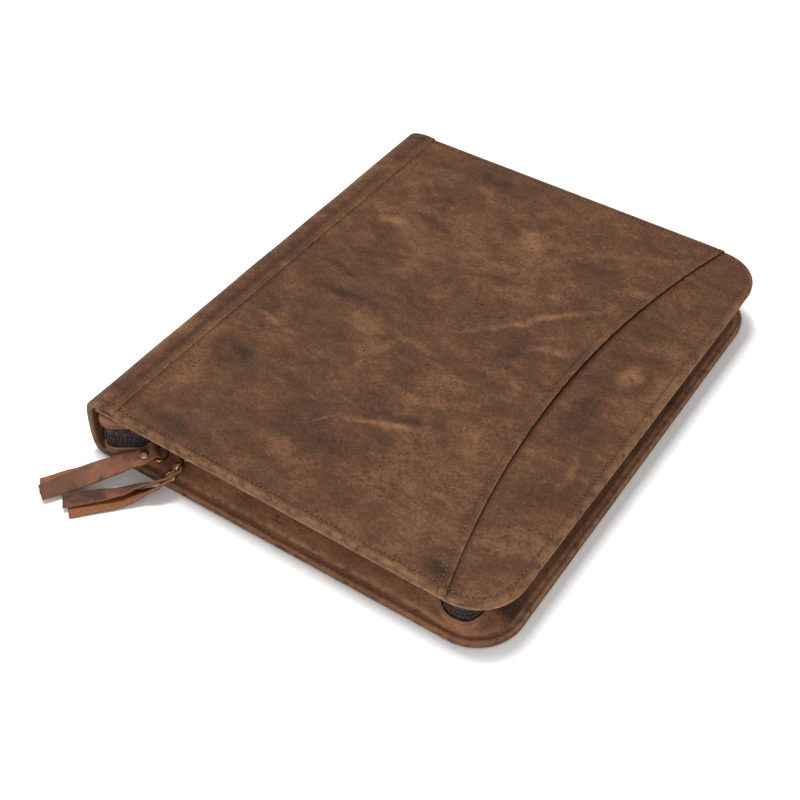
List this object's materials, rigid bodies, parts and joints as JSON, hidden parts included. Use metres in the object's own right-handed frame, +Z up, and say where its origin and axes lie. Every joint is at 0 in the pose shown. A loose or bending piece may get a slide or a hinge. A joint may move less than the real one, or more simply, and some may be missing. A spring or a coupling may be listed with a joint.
{
  "type": "leather document case",
  "caption": "Zip-round leather document case, closed and flat, with a padded spine, a curved-mouth front pocket and leather zip pulls on D-rings.",
  "frame": {"origin": "on the surface that the case lies on, under the middle of the back cover and spine", "axes": "+X from the spine to the fore edge, +Y along the spine away from the zip pulls, +Z up out of the front cover"},
  "size_m": [0.2989, 0.3978, 0.0457],
  "materials": {
    "cover_leather": "mottled brown oiled leather, matt",
    "pull_leather": "brown oiled leather with an orange-tan suede inner side",
    "zip_tape": "woven, near black",
    "zip_coil": "dark nylon coil",
    "brass_furniture": "antiqued brass plate"
  },
  "bodies": {
    "root": {"back_cover": "cover_leather", "front_cover": "cover_leather", "front_pocket": "cover_leather", "spine": "cover_leather", "gusset_lower": "cover_leather", "gusset_upper": "cover_leather", "zip_tape_lower": "zip_tape", "zip_tape_upper": "zip_tape", "zip_chain": "zip_coil", "slider_1": "brass_furniture", "link_1": "brass_furniture", "pull_ring_1": "brass_furniture", "pull_1": "pull_leather", "rivet_1": "brass_furniture", "slider_2": "brass_furniture", "link_2": "brass_furniture", "pull_ring_2": "brass_furniture", "pull_2": "pull_leather", "rivet_2": "brass_furniture"}
  },
  "joints": []
}
